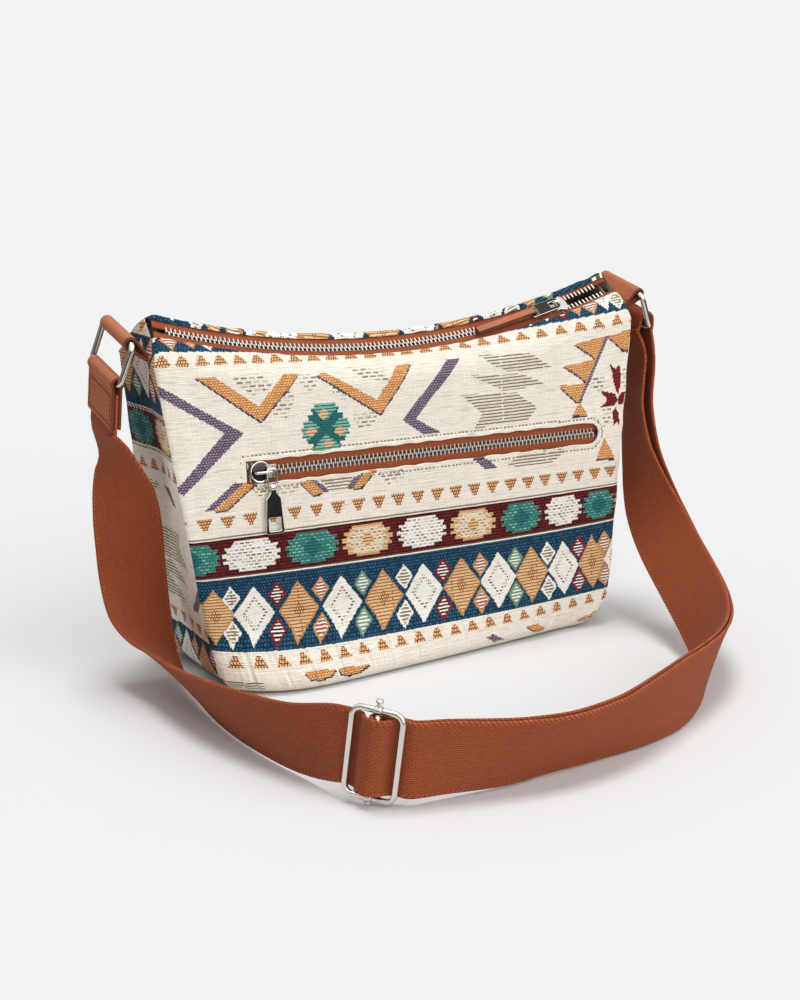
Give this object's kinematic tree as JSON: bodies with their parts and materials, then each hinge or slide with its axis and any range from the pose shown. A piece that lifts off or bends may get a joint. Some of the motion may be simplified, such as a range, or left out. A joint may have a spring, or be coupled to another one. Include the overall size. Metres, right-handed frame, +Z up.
{
  "type": "crossbody bag",
  "caption": "Soft zip-top crossbody bag of patterned woven cloth with a front zip pocket and an adjustable webbing strap on wire rings.",
  "frame": {"origin": "on the floor under the middle of the base, on the base's flat underside", "axes": "+X to the right seen from the front, -Y out of the front with the zip pocket, +Z up"},
  "size_m": [0.3631, 0.2924, 0.2136],
  "materials": {
    "jacquard": "matte woven jacquard, cream ground with coloured weft motifs",
    "lining_cloth": "plain weave, matte",
    "zip_tape": "herringbone twill, matte",
    "webbing": "ribbed cotton webbing, matte",
    "leather": "smooth, slightly waxy",
    "nickel": "polished nickel plate",
    "dark_nickel": "polished dark nickel plate"
  },
  "bodies": {
    "bag": {"front_panel": "jacquard", "back_panel": "jacquard", "left_gusset": "jacquard", "right_gusset": "jacquard", "lining": "lining_cloth", "pocket_bag": "lining_cloth", "top_zip_tape_front": "zip_tape", "top_zip_tape_back": "zip_tape", "top_zip_teeth_front": "nickel", "top_zip_teeth_back": "nickel", "pocket_zip_tape_upper": "zip_tape", "pocket_zip_tape_lower": "zip_tape", "pocket_zip_teeth_upper": "nickel", "pocket_zip_teeth_lower": "nickel", "left_ring_tab": "leather", "right_ring_tab": "leather", "strap": "webbing"},
    "top_slider": {"top_zip_slider": "nickel"},
    "top_link": {"top_zip_link": "nickel"},
    "top_pull": {"top_zip_pull": "leather"},
    "pocket_slider": {"pocket_zip_slider": "dark_nickel"},
    "pocket_link": {"pocket_zip_link": "dark_nickel"},
    "pocket_pull": {"pocket_zip_pull": "dark_nickel"},
    "left_ring": {"left_ring": "nickel", "strap_end_tab": "leather"},
    "right_ring": {"right_ring": "nickel"},
    "adjuster": {"adjuster_frame": "nickel"},
    "adjuster_bar": {"adjuster_bar": "nickel"}
  },
  "joints": [
    {"name": "top_slider_travel", "type": "hinge", "parent": "bag", "child": "top_slider", "pos_m": [-0.011, 0, 0.6865], "axis": [0, 1, 0], "range_deg": [-2.4, 27.5], "deforming": ["top_zip_teeth_front", "top_zip_teeth_back"]},
    {"name": "top_link_swing", "type": "hinge", "parent": "top_slider", "child": "top_link", "pos_m": [0.10984, -0.01326, 0.1975], "axis": [-0.1559, 0.766, 0.6236], "range_deg": [0, 110]},
    {"name": "top_pull_swing", "type": "hinge", "parent": "top_link", "child": "top_pull", "pos_m": [0.09141, -0.01326, 0.19289], "axis": [-0.1559, 0.766, 0.6236], "range_deg": [0, 70]},
    {"name": "pocket_slider_travel", "type": "slide", "parent": "bag", "child": "pocket_slider", "axis": [1, 0, 0], "range_m": [0, 0.208], "deforming": ["pocket_zip_teeth_upper", "pocket_zip_teeth_lower"]},
    {"name": "pocket_link_swing", "type": "hinge", "parent": "pocket_slider", "child": "pocket_link", "pos_m": [-0.09305, -0.03651, 0.11972], "axis": [0, -0.9955, 0.0946], "range_deg": [-60, 60]},
    {"name": "pocket_pull_swing", "type": "hinge", "parent": "pocket_link", "child": "pocket_pull", "pos_m": [-0.09305, -0.03735, 0.11086], "axis": [-1, 0, 0], "range_deg": [0, 100]},
    {"name": "left_ring_swing", "type": "hinge", "parent": "bag", "child": "left_ring", "pos_m": [-0.166, -0.002, 0.19721], "axis": [0, 0.9781, 0.2079], "range_deg": [-8, 150], "deforming": ["strap"]},
    {"name": "right_ring_swing", "type": "hinge", "parent": "bag", "child": "right_ring", "pos_m": [0.166, -0.002, 0.20408], "axis": [0, -0.9781, -0.2079], "range_deg": [-17, 141], "deforming": ["strap"]},
    {"name": "adjuster_slide", "type": "slide", "parent": "bag", "child": "adjuster", "axis": [0.6459, -0.7559, -0.107], "range_m": [-0.01, 0.01], "deforming": ["strap"]},
    {"name": "adjuster_bar_slide", "type": "slide", "parent": "adjuster", "child": "adjuster_bar", "axis": [0.6459, -0.7559, -0.107], "range_m": [-0.005, 0.005], "deforming": ["strap"]}
  ]
}
